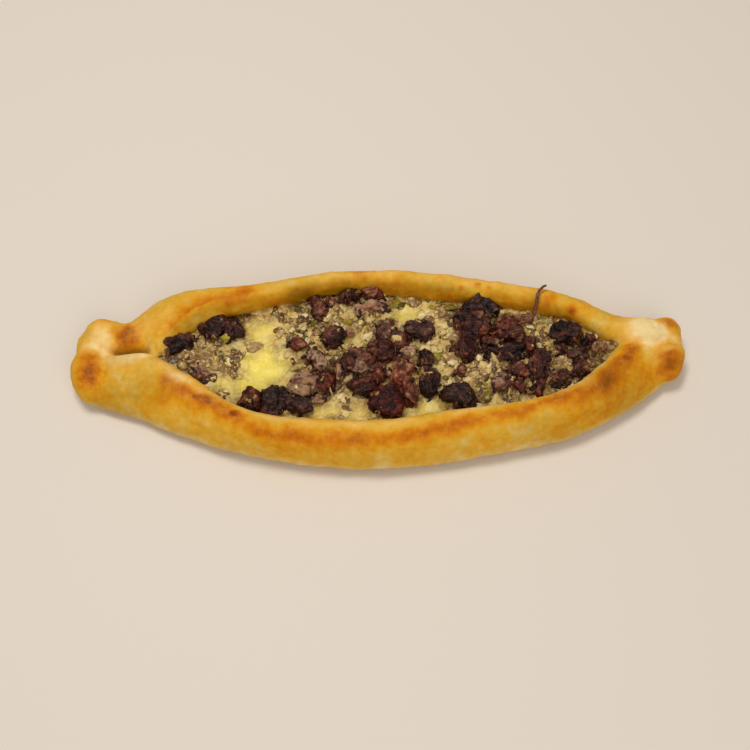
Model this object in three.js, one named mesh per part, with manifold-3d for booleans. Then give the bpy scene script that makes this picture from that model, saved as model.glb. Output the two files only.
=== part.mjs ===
// A Turkish pide: a boat-shaped flatbread baked open. Its long edges are rolled up into a crust and
// folded shut at both tips, and the boat holds a bed of melted cheese with roasted meat on it.
// Millimetres. +X runs along the boat, +Y towards its back rim and +Z up. The origin is the centre of
// the underside of the whole pide's bounding box.

import * as THREE from "three";
import { mergeVertices } from "three/addons/utils/BufferGeometryUtils.js";
import Module from "manifold-3d";

const wasm = await Module();
wasm.setup();

// ---- Driving dimensions -------------------------------------------------------------------------

const GAP = 0.35; // clearance between separate pieces

// Crust
const FLOOR = 5; // dough under the filling
const FOOT_HEIGHT = 4.5; // where the crust is widest
const FOOT_INSET = 6; // from the widest line in to the flat underside
const CREASE = 5; // depth of the seam where the two crusts meet at a tip
const SEAM_SLOT = 0.1; // half the width of that seam
const BODY_END = 171; // half the body's length, inside the knobs of both tips
const TAPER = 13; // length over which the body rounds off at its ends
const END_SHARE = { width: 0.55, height: 0.6 }; // of the full section, that is left at those ends
const CLOSING_ROOM = [2, 16]; // the floor rises to the seam as the rolls' distance falls to the first

// Each rim from above as [x, y]: its widest line, and the crest of its roll.
const FRONT_FOOT = [
  [-172, -6], [-163, -13], [-150, -19.5], [-133, -25.5], [-111, -36], [-78, -48.5], [-34, -58],
  [0, -60.5], [34, -58], [75, -51], [98, -46.5], [121, -37.8], [133, -31.5], [145, -24.3],
  [160, -12.5], [172, -5],
];
const FRONT_CREST = [
  [-172, 6], [-150, 4.5], [-138, 3.5], [-126, 0], [-117, -7], [-106, -15], [-95, -24], [-84, -32],
  [-70, -39], [-50, -43.5], [-25, -46], [5, -46.5], [40, -42], [75, -37.5], [96, -33], [107, -29],
  [119, -22], [131, -12], [143, -1], [154, 3], [172, 3],
];
const BACK_FOOT = [
  [-172, 35], [-158, 36.5], [-148, 35.5], [-140, 37], [-133, 43], [-125, 49.5], [-109, 53],
  [-78, 54.5], [-55, 57], [-25, 60.8], [10, 60.8], [40, 57.5], [75, 51], [105, 44.5], [121, 37],
  [133, 30.5], [148, 28], [160, 26], [172, 23],
];
const BACK_CREST = [
  [-172, 20], [-150, 18], [-137, 18], [-130, 22.5], [-124, 31.5], [-115, 40], [-104, 44.5],
  [-78, 46.5], [-55, 48.5], [-25, 52.8], [10, 52.3], [40, 48.5], [75, 42], [104, 34.5], [118, 27],
  [128, 20.5], [138, 16.5], [154, 16], [172, 12.5],
];
const FRONT_HEIGHT = [
  [-172, 14], [-160, 17], [-150, 18], [-140, 20.5], [-110, 23], [-60, 26], [0, 27], [70, 26],
  [120, 25.5], [142, 23], [151, 18], [172, 15],
];
const BACK_HEIGHT = [
  [-172, 13], [-150, 16.5], [-138, 18.5], [-126, 21.5], [-110, 23.5], [-80, 24.5], [-40, 26.5],
  [0, 27], [70, 26], [110, 24.5], [140, 21.5], [154, 20], [172, 14],
];
const FRONT_ROLL = [[-172, 6], [-110, 8], [0, 8.5], [110, 8], [172, 6]]; // radius of the rolled edge
const BACK_ROLL = [[-172, 6], [-110, 6], [-60, 7.5], [-12, 6], [30, 8], [110, 7], [172, 6]];

// Knobs and folds of dough on that body: a centreline, and the roll's radius at each of its points.
const FOLDS = {
  leftFrontKnob: { path: [[-160, -8, 8], [-163.5, 2, 9], [-163, 11, 8.5]], radii: [8, 9.5, 8] },
  leftBackKnob: { path: [[-157.5, 28, 11], [-151, 27, 10]], radii: [8, 8] },
  leftBrownedKnob: { path: [[-145, 20, 11], [-135, 20, 12]], radii: [8, 8.5] },
  backInnerEdge: {
    path: [
      [-127, 11, 9], [-118, 20, 14], [-108, 29, 17.5], [-97, 35.5, 19],
      [-84, 39.5, 19], [-70, 42.5, 19], [-54, 47, 18],
    ],
    radii: [5, 6.5, 7, 7, 6.8, 6.5, 5],
  },
  frontTail: {
    path: [[100, -30, 17], [117, -22, 18.5], [131, -11, 19], [143, -1, 19]],
    radii: [6, 7.5, 7.5, 5.5],
  },
  rightFrontKnob: { path: [[161, -4.5, 8], [164, 4, 9]], radii: [8.5, 9] },
  rightBackKnob: { path: [[164, 12, 9], [164, 18.5, 9]], radii: [8.5, 9] },
  rightFlap: { path: [[143, 15, 11.5], [153, 16, 11.5]], radii: [9, 10] },
};

// Filling
const BED_LEVEL = 14.5; // top of the cheese along the middle of the boat
const BED_EDGE_DROP = 2; // how much lower it lies along the crusts
const BED_RELIEF = 0.6; // how far it swells and sinks from that
const BED_ENDS = [-123.5, 134.5]; // x between which the cheese is poured
const BED_CELLS = { along: 20, across: 6 };
const BIT_SPACING = 9.1; // between the small bits of mince and pepper baked into the cheese
const BIT_SIZE = [4, 6.4]; // shortest and longest
const BIT_MARGIN = 12; // from a crest in to the nearest of them
const SMOOTH_PATCH = { x: -66, y: 8, alongX: 19, alongY: 22 }; // melted cheese with no bits on it

// Pieces of roasted meat: x, y, length, width, thickness and the turn of the length in degrees.
const MEAT = [
  [-111, 16, 18, 7, 9, 31], [-91, 25, 14, 12, 12, 10], [-81, 24, 9, 13, 12, -7],
  [-100, -4, 12, 6, 7, -24], [-71, -22, 10, 13, 12, 0], [-59, -23, 16, 14, 12, -5],
  [-45, -27, 13, 11, 11, 8], [-42, -14, 18, 11, 13, 43], [-30, -13, 9, 11, 11, 0],
  [-45, 12, 11, 8, 9, -13], [-35, 2, 16, 6, 8, -55], [-25, 17, 16, 8, 10, 48], [-17, 20, 7, 6, 9, 0],
  [-34, 39, 17, 6, 9, -78], [-27, 40, 6, 7, 8, 0], [-15, 46, 12, 7, 13, 16], [-2, 46, 14, 6, 12, -14],
  [1, 38, 11, 7, 8, -25], [-8, 34, 13, 6, 8, 10], [4, 19, 8, 14, 10, -3], [-13, -1, 15, 14, 12, 0],
  [1, 6, 13, 12, 12, -15], [-9, -16, 13, 10, 10, -25], [-1, -7, 8, 12, 11, -6],
  [13, -9, 9, 20, 12, -12], [4, -27, 18, 17, 14, 5], [26, 1, 9, 12, 11, 0], [26, -14, 9, 15, 11, -8],
  [23, 19, 15, 10, 10, 0], [17, 5, 8, 7, 9, 20], [59, 35, 23, 11, 12, -14], [54, 21, 19, 14, 13, 5],
  [73, 18, 19, 12, 12, -14], [71, 4, 22, 9, 10, -2], [48, 6, 10, 16, 11, -12], [83, 7, 8, 9, 10, 0],
  [89, -4, 9, 20, 11, -8], [77, -18, 6, 11, 9, -5], [86, -19, 8, 9, 9, 0], [43, -25, 16, 15, 12, 15],
  [106, 15, 19, 11, 12, -8], [117, 10, 8, 9, 10, 0], [110, 1, 12, 9, 9, 0], [112, -8, 11, 8, 9, 20],
  [99, -13, 11, 7, 9, 31], [82, 25, 13, 5, 7, 15], [66, -16, 11, 10, 9, 0], [123, 5, 7, 9, 8, -15],
  [11, 12, 13, 9, 9, 20], [46, -7, 7, 6, 8, 0], [76, -9, 12, 8, 9, 10], [-22, -4, 5, 15, 8, 0],
  [17, -22, 6, 14, 9, -5], [-35, -23, 10, 5, 7, 0], [103, 4, 7, 8, 8, 0], [62, 10, 12, 6, 8, 0],
];
const MEAT_SCALE = 1.14; // of the lengths and widths above, so that neighbours press together
const MEAT_SUNK = 0.36; // share of a piece's thickness below the cheese's level
const MEAT_FORMS = [
  // { for pieces whose length times width is over this, the block they start from }
  { over: 250, form: () => new THREE.IcosahedronGeometry(1, 2) },
  { over: 90, form: () => new THREE.IcosahedronGeometry(1, 1) },
  { over: 0, form: () => new THREE.OctahedronGeometry(1, 1) },
];
const BIT_FORM = () => new THREE.IcosahedronGeometry(1, 0);
const SQUARENESS = 3.5; // of every lump: 2 is an ellipsoid, and a high number a box
const ROUGHNESS = [0.86, 1.12]; // how far in and out a lump's corners are pushed
const TILT = 24; // degrees over which lumps tip

// A crisp shred that climbs from the meat over the back rim
const STRAND = {
  path: [
    [79, 21, 19], [84, 22.3, 19.4], [87.5, 24.6, 20.4], [89, 27.6, 23], [89.6, 30.4, 25.6],
    [90.3, 33.8, 27.3], [91.6, 37.2, 27.5], [93.6, 39.6, 27.3], [96, 41, 26.9],
  ],
  radii: [0.8, 1, 1.1, 1.1, 1, 1, 0.9, 0.8, 0.6],
};
const STRAND_MESH = { rings: 20, sides: 6 };

const DOUGH = new THREE.MeshStandardMaterial({ color: 0xd9962f, roughness: 0.6, metalness: 0 });
const CHEESE = new THREE.MeshStandardMaterial({ color: 0xd9c26a, roughness: 0.45, metalness: 0 });
const ROAST = new THREE.MeshStandardMaterial({ color: 0x3d211a, roughness: 0.5, metalness: 0 });

// ---- Helpers ------------------------------------------------------------------------------------

const { degToRad, lerp, smoothstep } = THREE.MathUtils;

// A smooth function of x through [x, value] points, held level outside them.
function through(points) {
  const slope = points.map((_, i) => {
    const a = points[Math.max(0, i - 1)], b = points[Math.min(points.length - 1, i + 1)];
    return (b[1] - a[1]) / (b[0] - a[0]);
  });
  return (x) => {
    let i = 0;
    while (i < points.length - 2 && x > points[i + 1][0]) i++;
    const [x0, y0] = points[i], [x1, y1] = points[i + 1], span = x1 - x0;
    const t = Math.min(1, Math.max(0, (x - x0) / span)), u = 1 - t;
    const bend = (slope[i] * u - slope[i + 1] * t) * span * t * u;
    return y0 * u * u * (1 + 2 * t) + y1 * t * t * (1 + 2 * u) + bend;
  };
}

// Random numbers from 0 to 1, the same ones on every run.
function seeded(seed) {
  return () => {
    seed = (seed + 0x6d2b79f5) | 0;
    let t = Math.imul(seed ^ (seed >>> 15), 1 | seed);
    t = (t + Math.imul(t ^ (t >>> 7), 61 | t)) ^ t;
    return ((t ^ (t >>> 14)) >>> 0) / 4294967296;
  };
}

function solidOf(position, index) {
  const vertProperties = new Float32Array(position), triVerts = new Uint32Array(index);
  return new wasm.Manifold(new wasm.Mesh({ numProp: 3, vertProperties, triVerts }));
}

// A closed solid from rings of [x, y, z] points, all of one count, with a point at each end. Each ring
// runs clockwise, seen from the next one.
function solidOfRings(rings, start, end) {
  const count = rings[0].length, last = rings.length - 1, endPoint = 1 + rings.length * count;
  const at = (ring, k) => 1 + ring * count + (k % count);
  const index = [];
  for (let k = 0; k < count; k++) {
    index.push(0, at(0, k), at(0, k + 1), endPoint, at(last, k + 1), at(last, k));
    for (let r = 0; r < last; r++)
      index.push(at(r, k), at(r + 1, k), at(r, k + 1), at(r, k + 1), at(r + 1, k), at(r + 1, k + 1));
  }
  return solidOf([start, ...rings.flat(), end].flat(), index);
}

// The same surface with its corners shared between faces, as a closed solid needs them.
function sharedCorners(geometry) {
  geometry.deleteAttribute("normal");
  geometry.deleteAttribute("uv");
  return mergeVertices(geometry);
}

const solidOfGeometry = ({ attributes, index }) => solidOf(attributes.position.array, index.array);

function meshOf(name, solid, material) {
  const made = solid.getMesh();
  const geometry = new THREE.BufferGeometry()
    .setAttribute("position", new THREE.BufferAttribute(made.vertProperties, 3))
    .setIndex(new THREE.BufferAttribute(made.triVerts, 1));
  const mesh = new THREE.Mesh(geometry, material);
  mesh.name = name;
  return mesh;
}

const largestOf = (solid) => solid.decompose().sort((a, b) => b.volume() - a.volume())[0];

// ---- Crust --------------------------------------------------------------------------------------

const OUTER_ANGLES = [0, 24, 48, 70, 90]; // quarter ellipse from the foot over to the crest
const INNER_ANGLES = [35, 70, 105]; // the rolled edge from the crest down inside
const STATIONS = 44; // closer together towards the tips
const CAP_START = 0.93; // share of a roll's radius past its centreline at which its last ring lies

function rimOf(inward, ...lines) {
  const [foot, crest, height, roll] = lines.map(through);
  return { inward, foot, crest, height, roll };
}

const rims = {
  front: rimOf(1, FRONT_FOOT, FRONT_CREST, FRONT_HEIGHT, FRONT_ROLL),
  back: rimOf(-1, BACK_FOOT, BACK_CREST, BACK_HEIGHT, BACK_ROLL),
};

// The sizes of the cross-section at x: each rim, the seam midway between their crests, and the floor.
function sectionSizes(x) {
  const past = Math.max(0, 1 - (BODY_END - Math.abs(x)) / TAPER);
  const round = Math.sqrt(Math.max(0, 1 - past * past));
  const wide = lerp(END_SHARE.width, 1, round), high = lerp(END_SHARE.height, 1, round);
  const seam = (rims.front.crest(x) + rims.back.crest(x)) / 2;
  const span = rims.back.crest(x) - rims.front.crest(x);
  const sized = ({ inward, foot, crest, height, roll }) => {
    const slope = (crest(x + 1) - crest(x - 1)) / 2;
    return {
      inward,
      foot: lerp(seam, foot(x), wide),
      crest: lerp(seam, crest(x), wide),
      height: height(x) * high,
      roll: roll(x),
      // Where the rim runs aslant, its roll is wider across the boat. At the tips two rolls share it.
      reach: Math.min(roll(x) * Math.hypot(1, slope), 0.46 * span * wide),
    };
  };
  const front = sized(rims.front), back = sized(rims.back);
  const room = span - front.reach - back.reach;
  const creased = Math.min(front.height, back.height) - CREASE;
  return { front, back, seam, floor: lerp(creased, FLOOR, smoothstep(room, ...CLOSING_ROOM)) };
}

// The hidden face under the rolled edge, from its underside down to the floor, as [y, z].
function innerWall({ inward, crest, height, roll, reach }, seam, floor, clearance) {
  const limit = Math.abs(seam - crest) - SEAM_SLOT;
  const inside = (share) => crest + inward * Math.min(reach * share + clearance, limit);
  return [
    [inside(0.8), lerp(floor, Math.max(floor, height - 2 * roll), 0.3)],
    [inside(1.2), floor + clearance],
  ];
}

// One rim in section from the underside over the crest down to the floor, as [y, z].
function rimProfile(rim, seam, floor, grow) {
  const { inward, foot, crest, height, roll, reach } = rim;
  const limit = Math.abs(seam - crest) - SEAM_SLOT;
  const points = [
    [foot + inward * FOOT_INSET, 0],
    [foot + inward * 1.5, 1.3],
  ];
  for (const angle of OUTER_ANGLES.map(degToRad))
    points.push([
      lerp(foot - inward * grow, crest, 1 - Math.cos(angle)),
      lerp(FOOT_HEIGHT, height + grow, Math.sin(angle)),
    ]);
  for (const angle of INNER_ANGLES.map(degToRad))
    points.push([
      crest + inward * Math.min((reach + grow) * Math.sin(angle), limit),
      height + grow * Math.cos(angle) - Math.min(roll * (1 - Math.cos(angle)), (height - floor) * 0.8),
    ]);
  return [...points, ...innerWall(rim, seam, floor, grow)];
}

function boat(grow) {
  const rings = [];
  for (let i = 0; i <= STATIONS; i++) {
    const along = lerp(-1, 1, i / STATIONS);
    const x = lerp(along, Math.sin((along * Math.PI) / 2), 0.5) * (BODY_END - 0.5);
    const { front, back, seam, floor } = sectionSizes(x);
    const section = [
      ...rimProfile(front, seam, floor, grow),
      [seam, floor + grow],
      ...rimProfile(back, seam, floor, grow).reverse(),
    ];
    rings.push(section.map(([y, z]) => [x, y, z]));
  }
  const tip = (x) => [x, sectionSizes(x).seam, FOOT_HEIGHT];
  return solidOfRings(rings, tip(-BODY_END - grow), tip(BODY_END + grow));
}

// A roll of dough or a strand along a centreline, rounded at both ends.
function roll({ path, radii }, { rings = 3 * path.length + 2, sides = 9, grow = 0 } = {}) {
  const curve = new THREE.CatmullRomCurve3(path.map((p) => new THREE.Vector3(...p)));
  const radius = through(radii.map((r, i) => [i / (radii.length - 1), r]));
  const length = curve.getLength(), vertical = new THREE.Vector3(0, 0, 1);
  const made = [];
  for (let i = 0; i < rings; i++) {
    // The line runs straight on past both of its ends, where the roll closes as a round cap.
    const s = lerp(-radius(0) * CAP_START, length + radius(1) * CAP_START, i / (rings - 1));
    const u = Math.min(1, Math.max(0, s / length)), past = s - u * length;
    const tangent = curve.getTangentAt(u), centre = curve.getPointAt(u).addScaledVector(tangent, past);
    const r = Math.sqrt((radius(u) + grow) ** 2 - past ** 2);
    const side = vertical.clone().cross(tangent).normalize(), up = tangent.clone().cross(side);
    const around = (k) => {
      const angle = (-k * 2 * Math.PI) / sides, point = centre.clone();
      return point.addScaledVector(side, r * Math.cos(angle)).addScaledVector(up, r * Math.sin(angle));
    };
    made.push(Array.from({ length: sides }, (_, k) => around(k).toArray()));
  }
  const end = (u, way) => {
    const point = curve.getPointAt(u);
    return point.addScaledVector(curve.getTangentAt(u), way * (radius(u) + grow)).toArray();
  };
  return solidOfRings(made, end(0, -1), end(1, 1));
}

const GROUND = { x: 500, y: 300, z: 60 }; // a block under z = 0
const groundBox = new THREE.BoxGeometry(GROUND.x, GROUND.y, GROUND.z).translate(0, 0, -GROUND.z / 2);
const ground = solidOfGeometry(sharedCorners(groundBox));

// The whole crust, or the space it takes with a clearance of grow round it.
function crust(grow = 0) {
  const folds = Object.values(FOLDS).map((fold) => roll(fold, { grow }));
  return folds.reduce((whole, fold) => whole.add(fold), boat(grow)).subtract(ground);
}

// ---- Filling ------------------------------------------------------------------------------------

// The cheese: poured into the boat, so that its sides and underside are the crust's own inside.
function bed() {
  const random = seeded(7), rings = [];
  for (let i = 0; i <= BED_CELLS.along; i++) {
    const x = lerp(...BED_ENDS, i / BED_CELLS.along);
    const near = rims.front.crest(x), far = rims.back.crest(x);
    const ring = [[x, far, 0], [x, near, 0]];
    for (let k = 0; k <= BED_CELLS.across; k++) {
      const share = k / BED_CELLS.across, drop = BED_EDGE_DROP * Math.abs(2 * share - 1) ** 3;
      ring.push([x, lerp(near, far, share), BED_LEVEL - drop + BED_RELIEF * (2 * random() - 1)]);
    }
    rings.push(ring);
  }
  const end = (x) => [x, sectionSizes(x).seam, BED_LEVEL / 2];
  const poured = solidOfRings(rings, end(BED_ENDS[0] - 0.5), end(BED_ENDS[1] + 0.5));
  return largestOf(poured.subtract(crust(GAP)));
}

// A lump: a block with rounded edges, centred on x, y, z, its corners pushed in and out at random.
function lump({ at, size, turn, seed, form, grow = 0 }) {
  const random = seeded(seed), p = new THREE.Vector3();
  const block = sharedCorners(form()), place = block.getAttribute("position");
  for (let i = 0; i < place.count; i++) {
    p.fromBufferAttribute(place, i);
    const powers = p.toArray().reduce((sum, part) => sum + Math.abs(part) ** SQUARENESS, 0);
    p.multiplyScalar(powers ** (-1 / SQUARENESS) * lerp(...ROUGHNESS, random()));
    place.setXYZ(i, ...size.map((full, axis) => p.getComponent(axis) * (full / 2 + grow)));
  }
  const tilt = () => degToRad(TILT * (random() - 0.5));
  block.rotateX(tilt()).rotateY(tilt()).rotateZ(degToRad(turn)).translate(...at);
  return solidOfGeometry(block);
}

const meatLump = ([x, y, length, width, thickness, turn], i, grow = 0) =>
  lump({
    at: [x, y, BED_LEVEL + thickness * (0.5 - MEAT_SUNK)],
    size: [length * MEAT_SCALE, width * MEAT_SCALE, thickness],
    turn,
    seed: i + 1,
    form: MEAT_FORMS.find(({ over }) => length * width > over).form,
    grow,
  });

// Bits baked into the cheese: one in each cell of a grid, wherever no meat, crust or smooth cheese is.
function bits(hindered) {
  const random = seeded(11), made = [];
  const smoothAt = (x, y) => {
    const { x: midX, y: midY, alongX, alongY } = SMOOTH_PATCH;
    return Math.hypot((x - midX) / alongX, (y - midY) / alongY) < 1;
  };
  for (let cellX = BED_ENDS[0] + BIT_SPACING / 2; cellX < BED_ENDS[1]; cellX += BIT_SPACING) {
    const near = rims.front.crest(cellX) + BIT_MARGIN, far = rims.back.crest(cellX) - BIT_MARGIN;
    for (let cellY = near; cellY < far; cellY += BIT_SPACING) {
      const size = [0, 1, 2].map(() => lerp(...BIT_SIZE, random()));
      const x = cellX + BIT_SPACING * (random() - 0.5), y = cellY + BIT_SPACING * (random() - 0.5);
      const turn = 360 * random(), seed = 100 + made.length;
      const bit = { at: [x, y, BED_LEVEL], size, turn, seed, form: BIT_FORM };
      const free = lump({ ...bit, grow: GAP }).intersect(hindered).isEmpty();
      if (free && !smoothAt(x, y)) made.push(lump(bit));
    }
  }
  return made;
}

// ---- The pide -----------------------------------------------------------------------------------

const cheese = bed();
const strand = roll(STRAND, STRAND_MESH);
const underMeat = cheese.add(cheese.translate(0, 0, GAP));
let taken = crust(GAP).add(roll(STRAND, { ...STRAND_MESH, grow: GAP }));
const meat = MEAT.map((piece, i) => {
  const free = largestOf(meatLump(piece, i).subtract(taken).subtract(underMeat));
  taken = taken.add(meatLump(piece, i, GAP));
  return meshOf(`meat_${String(i + 1).padStart(2, "0")}`, free, ROAST);
});
const filling = bits(taken).reduce((whole, bit) => whole.add(bit), cheese);

const pide = new THREE.Group();
pide.add(meshOf("crust", crust(), DOUGH), meshOf("cheese", filling, CHEESE));
pide.add(...meat, meshOf("crisp_strand", strand, ROAST));
const middle = new THREE.Box3().setFromObject(pide).getCenter(new THREE.Vector3());
pide.position.set(-middle.x, -middle.y, 0);

export default pide;
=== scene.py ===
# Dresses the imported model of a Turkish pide: a boat of golden baked dough, folded shut at both tips,
# filled with melted cheese, mince, bits of pepper and dark chunks of roast meat.
# Lengths and places are in millimetres in the model's own frame: +X along the boat, +Y to its back rim.

import itertools
import math

import bmesh
import bpy
import numpy as np
from mathutils import Euler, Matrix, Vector
from mathutils.bvhtree import BVHTree
from mathutils.kdtree import KDTree


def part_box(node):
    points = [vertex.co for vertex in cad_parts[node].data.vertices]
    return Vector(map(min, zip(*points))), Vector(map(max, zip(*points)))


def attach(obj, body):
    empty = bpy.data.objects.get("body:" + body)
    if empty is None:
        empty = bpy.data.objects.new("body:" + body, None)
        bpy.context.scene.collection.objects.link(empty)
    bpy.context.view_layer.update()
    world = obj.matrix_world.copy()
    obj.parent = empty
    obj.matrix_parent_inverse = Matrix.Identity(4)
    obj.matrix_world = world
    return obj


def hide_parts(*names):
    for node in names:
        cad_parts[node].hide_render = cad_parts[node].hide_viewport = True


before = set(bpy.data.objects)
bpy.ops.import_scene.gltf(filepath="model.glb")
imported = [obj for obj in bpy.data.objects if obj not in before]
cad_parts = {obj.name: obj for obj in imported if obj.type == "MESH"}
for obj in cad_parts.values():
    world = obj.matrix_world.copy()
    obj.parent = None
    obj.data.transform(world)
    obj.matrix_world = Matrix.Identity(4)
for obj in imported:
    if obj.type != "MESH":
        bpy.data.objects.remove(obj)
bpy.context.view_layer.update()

MM = 0.001
SKY = 100  # a height above everything

# ---- Crust --------------------------------------------------------------------------------------

CRUST_CELL = 1.03
CRUST_SMOOTHING = 22
CRUST_GROWTH = 0.55  # puts back what smoothing takes off
BLISTER_SIZE, BLISTER_FROM, BLISTER_HEIGHT = 7.5, 0.33, 2.2
PALE_BELOW, GOLDEN_ABOVE = 1, 13  # heights between which the side turns from straw to golden
SIDE_BROWN = (0.12, 0.4)  # how brown it is below and above them
# Painted contact shadow: the olive darkening low on the foot stands in for the shadow where the crust meets
# the floor.
FOOT_PAINTED_SHADOW = 0.75
FOOT_HEIGHTS = (0.4, 2.8)  # between which the foot's olive fades
TOPPED = 8  # browned stripes and patches stay above this height
# Where the rim closes over the filling's right end: the middle of it, how far around it that reaches,
# how far the rim moves in, and between which heights it starts to.
TIP = {"middle": (136, 4), "reach": 13, "in": 4.6, "heights": (4, 12)}
LIP_PLACE, LIP_WIDTH = 2.2, 1.2  # of a crease's width

# Seams and folds, seen from above: how deep, how wide, and how far the dough on its front side stands up.
CREASES = [
    {
        "path": [
            (-158, 16.5), (-154, 14.6), (-150, 12.5), (-145, 10.3), (-139, 10.2), (-133, 11.2),
            (-127, 11.6),
        ],
        "depth": 2.7, "width": 1.5, "lip": 1.2,
    },
    {"path": [(-156, 14), (-153, 8), (-152, 1), (-154, -6)], "depth": 1.5, "width": 2.6, "lip": 0},
    {"path": [(-149, 25), (-147.5, 21), (-148, 15)], "depth": 1.4, "width": 1.8, "lip": 0},
    {"path": [(154, 8.6), (158, 8), (163, 7.6), (168, 7), (172, 6.8)], "depth": 1.6, "width": 1, "lip": 0.5},
    {"path": [(150, 2), (146, -3), (140, -10), (133, -17)], "depth": 0.9, "width": 3, "lip": 0},
    {
        "path": [(-121, 19), (-113, 28), (-104, 35), (-93, 40), (-80, 43.5), (-66, 46)],
        "depth": 2.0, "width": 1.6, "lip": 0.7,
    },
    {"path": [(156, 15), (155, 19), (154, 24)], "depth": 1.2, "width": 1.8, "lip": 0},
    {"path": [(153, 6), (154, 0), (152, -7)], "depth": 1.0, "width": 2.2, "lip": 0},
    {"path": [(-80, -31), (-78, -35.5), (-74, -39.5), (-69, -42)], "depth": 0.9, "width": 1.3, "lip": 0.3},
]

# Browned stripes, seen from above: how much browner at the middle, and how wide to each side.
STRIPES = [
    {
        "path": [(-120, -8), (-111, -14.5), (-100, -22), (-89, -29.5), (-80, -35.5)],
        "much": 0.38, "width": 6,
    },
    {
        "path": [
            (-86, -32), (-76, -38.5), (-67, -44), (-54, -48.5), (-28, -51.8), (-1, -52.2), (15, -51),
            (31, -47.6),
        ],
        "much": 0.33, "width": 4.6,
    },
    {
        "path": [
            (18, -50.5), (33, -47), (45, -44.5), (63, -41), (74, -38.3), (88, -33.6), (99, -29.4),
            (110, -26),
        ],
        "much": 0.36, "width": 4,
    },
    {
        "path": [(103, -31), (112, -28), (119, -24), (126, -17), (133, -9), (139, -2), (144.5, 5)],
        "much": 0.38, "width": 5,
    },
    {
        "path": [(-121, 18), (-115, 25), (-107, 31.5), (-98, 36.5), (-88, 40), (-76, 43.4), (-64, 46.5)],
        "much": 0.34, "width": 5,
    },
    {
        "path": [
            (-104, 25), (-80, 36), (-65, 38.5), (-49, 41.5), (-32, 44), (-9, 45.5), (14, 44), (36, 40),
            (70, 34.5), (93, 29), (108, 22), (122, 12),
        ],
        "much": 0.2, "width": 3.6,
    },
    {
        "path": [(-40, 54), (-20, 56), (0, 56.5), (30, 54), (60, 49), (95, 42), (122, 31)],
        "much": 0.1, "width": 3,
    },
]

# Painted highlights, as paler stripes: the front rim's inner edge, and the back rim's top.
HIGHLIGHT_STRIPES = [
    {
        "path": [
            (-121, 1.5), (-115, -3.6), (-109, -9.6), (-100, -16), (-87, -23.6), (-77, -28.5), (-63, -36),
            (-43, -41.5), (-11, -44), (10, -44.5), (31, -39.5),
        ],
        "much": 0.38, "width": 3.2,
    },
    {
        "path": [
            (31, -40.5), (54, -34), (76, -29.5), (99, -23.5), (110, -20), (117, -13), (123, -7),
            (129, 1),
        ],
        "much": 0.5, "width": 3,
    },
    {
        "path": [(-40, 51.5), (-10, 53.5), (15, 53), (45, 48.5), (75, 42.5), (100, 36)],
        "much": 0.3, "width": 3.4,
    },
]

# Dark olive stripes: painted shade at the bottom of the deep seam, and on the back rim's inner wall painted
# shade together with juice soaked in.
OLIVE_STRIPES = [
    {
        "path": [(-149, 13), (-144, 11.2), (-139, 10.8), (-133.5, 11.4), (-126, 12)],
        "much": 0.45, "width": 1.9,
    },
    {
        "path": [
            (-122, 10), (-114, 19), (-104, 26), (-92, 32), (-80, 35.5), (-65, 38), (-49, 41),
            (-32, 43.5),
        ],
        "much": 0.34, "width": 3,
    },
    {
        "path": [(-56, 42), (-32, 45), (-22, 46.6), (-9, 47), (14, 45), (36, 42), (58, 38.5)],
        "much": 0.42, "width": 3.4,
    },
    {
        "path": [(58, 38.5), (76, 35), (93, 31), (108, 24), (122, 14), (132, 8)],
        "much": 0.26, "width": 2.6,
    },
]

# Browned and pale patches: x, y, half-lengths along x and y, and how much browner or paler.
BROWN_PATCHES = [
    (-161, 1.5, 6.8, 14, 0.42), (-160, -4, 4, 8, 0.1), (-140, 20, 9, 8, 0.56), (-140, 17, 6, 4, 0.08),
    (-157, 32, 7, 2.6, 0.16), (-78.3, -34.4, 2.4, 1.8, 0.34), (-98, -25, 11, 6, 0.1), (-112, -22, 8, 6, 0.08),
    (-79, -36, 5, 3, 0.2), (98, 32.8, 5, 3.4, 0.3), (-8.4, 52.6, 7, 4.4, 0.36), (47.6, 43, 1.7, 1.4, 0.46),
    (56.6, 43.1, 2, 1.6, 0.5), (63.3, 40.6, 2.1, 1.4, 0.3), (109.3, 26.1, 3.4, 3, 0.34), (86, 36, 4, 2, 0.14),
    (164, 19.4, 7, 4.6, 0.5), (162, -5, 9, 9, 0.5), (143, 5.4, 4, 3.4, 0.24), (112, -34, 22, 10, 0.12),
    (122, -22, 12, 9, 0.1), (136, -18, 15, 12, 0.16), (152, -12, 12, 8, 0.14), (-154, -13, 9, 9, 0.12),
    (-126, -18, 13, 7, 0.1), (96, -47, 6, 4, 0.06), (139, 25, 9, 3, 0.12), (-128, 32, 7, 5, 0.1),
    (-20, 58, 14, 3, 0.06), (169, 2, 3, 5, 0.08), (112, 20, 8, 5, 0.08),
]
PALE_PATCHES = [
    (-118, -1, 6, 5, 0.4), (-110, -9, 9, 5, 0.3), (-141, 4.5, 12, 6, 0.68), (-155.5, 21, 7.5, 10, 0.66),
    (-151, 12, 6, 5, 0.4), (-131, 7.5, 8, 3, 0.5), (150, 14.5, 12, 8.5, 0.9), (157, 12, 7, 7, 0.6),
    (168, 9, 5, 3, 0.5), (151, 3, 5, 8, 0.4), (164, 2.6, 6, 1.8, 0.4), (-163, 15, 5, 4, 0.5),
    (-132, 26, 8, 9, 0.3), (-118, 28, 5, 8, 0.2), (150, 22, 12, 4, 0.3),
]
# Where the gold is darker and greener: x, y, half-lengths, how much.
OLIVE_PATCHES = [
    (-142, 3, 11, 6, 0.18), (-140, -20, 14, 12, 0.18), (-152, -16, 9, 7, 0.18), (-122, -14, 15, 9, 0.18),
    (128, -24, 26, 15, 0.28), (96, -46, 24, 8, 0.15), (163, -6, 10, 12, 0.2), (-140, 10, 9, 5, 0.2),
    (164, 14, 7, 6, 0.12),
]

# ---- Mesh data ----------------------------------------------------------------------------------


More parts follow.
